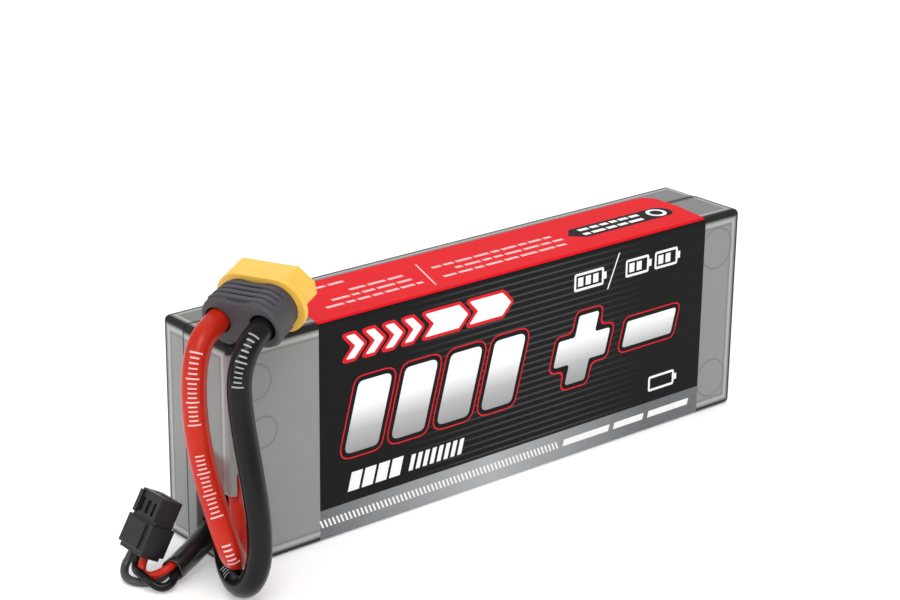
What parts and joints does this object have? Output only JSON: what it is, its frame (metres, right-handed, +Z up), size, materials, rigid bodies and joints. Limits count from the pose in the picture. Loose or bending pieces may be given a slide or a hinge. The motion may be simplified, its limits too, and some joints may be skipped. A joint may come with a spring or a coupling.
{
  "type": "lithium polymer battery pack",
  "caption": "Hard-case RC battery pack on its long edge: smoked shells, wrap-round label, pouch cells, leads to a capped plug, and a sleeved balance lead.",
  "frame": {"origin": "middle of the case's footprint, on the surface that the pack stands on", "axes": "+X along the pack away from the lead end, +Y from the label's main panel to the back, +Z up across the pack's width"},
  "size_m": [0.1581, 0.0413, 0.0603],
  "materials": {
    "smoked_case": "smoked translucent plastic, polished",
    "label_film": "printed film, black front, red top, silver band",
    "pouch_foil": "laminated foil, satin",
    "tab_aluminium": "bare sheet",
    "tab_nickel": "nickel plate",
    "circuit_board": "solder resist",
    "foam_tape": "closed-cell foam",
    "amber_tape": "polyimide film",
    "grey_foam": "closed-cell foam",
    "solder": "bright solder",
    "red_silicone": "satin silicone",
    "black_silicone": "satin silicone",
    "grey_silicone": "satin silicone",
    "yellow_nylon": "moulded, semi-gloss",
    "grey_nylon": "moulded, satin",
    "gold_contact": "gold plate",
    "heat_shrink": "shrunk sleeve, semi-gloss",
    "black_nylon": "moulded, semi-gloss",
    "clip_nylon": "moulded, fine matt"
  },
  "bodies": {
    "root": {"front_shell": "smoked_case", "rear_shell": "smoked_case", "label": "label_film", "front_cell": "pouch_foil", "rear_cell": "pouch_foil", "front_cell_positive_tab": "tab_aluminium", "rear_cell_positive_tab": "tab_aluminium", "front_cell_negative_tab": "tab_nickel", "rear_cell_negative_tab": "tab_nickel", "series_link": "tab_nickel", "tab_board": "circuit_board", "cell_divider": "foam_tape", "mounting_tape": "foam_tape", "cell_wraps": "amber_tape", "lead_end_pad": "grey_foam", "far_end_pad": "grey_foam", "positive_solder_joint": "solder", "negative_solder_joint": "solder", "balance_solder_joints": "solder", "positive_lead": "red_silicone", "negative_lead": "black_silicone", "plug_housing": "yellow_nylon", "plug_cap": "grey_nylon", "plug_positive_contact": "gold_contact", "plug_negative_contact": "gold_contact", "balance_sleeve": "heat_shrink", "balance_wire_red": "red_silicone", "balance_wire_black": "black_silicone", "balance_wire_grey": "grey_silicone", "balance_housing": "black_nylon", "balance_clip": "clip_nylon", "balance_terminals": "gold_contact"}
  },
  "joints": []
}
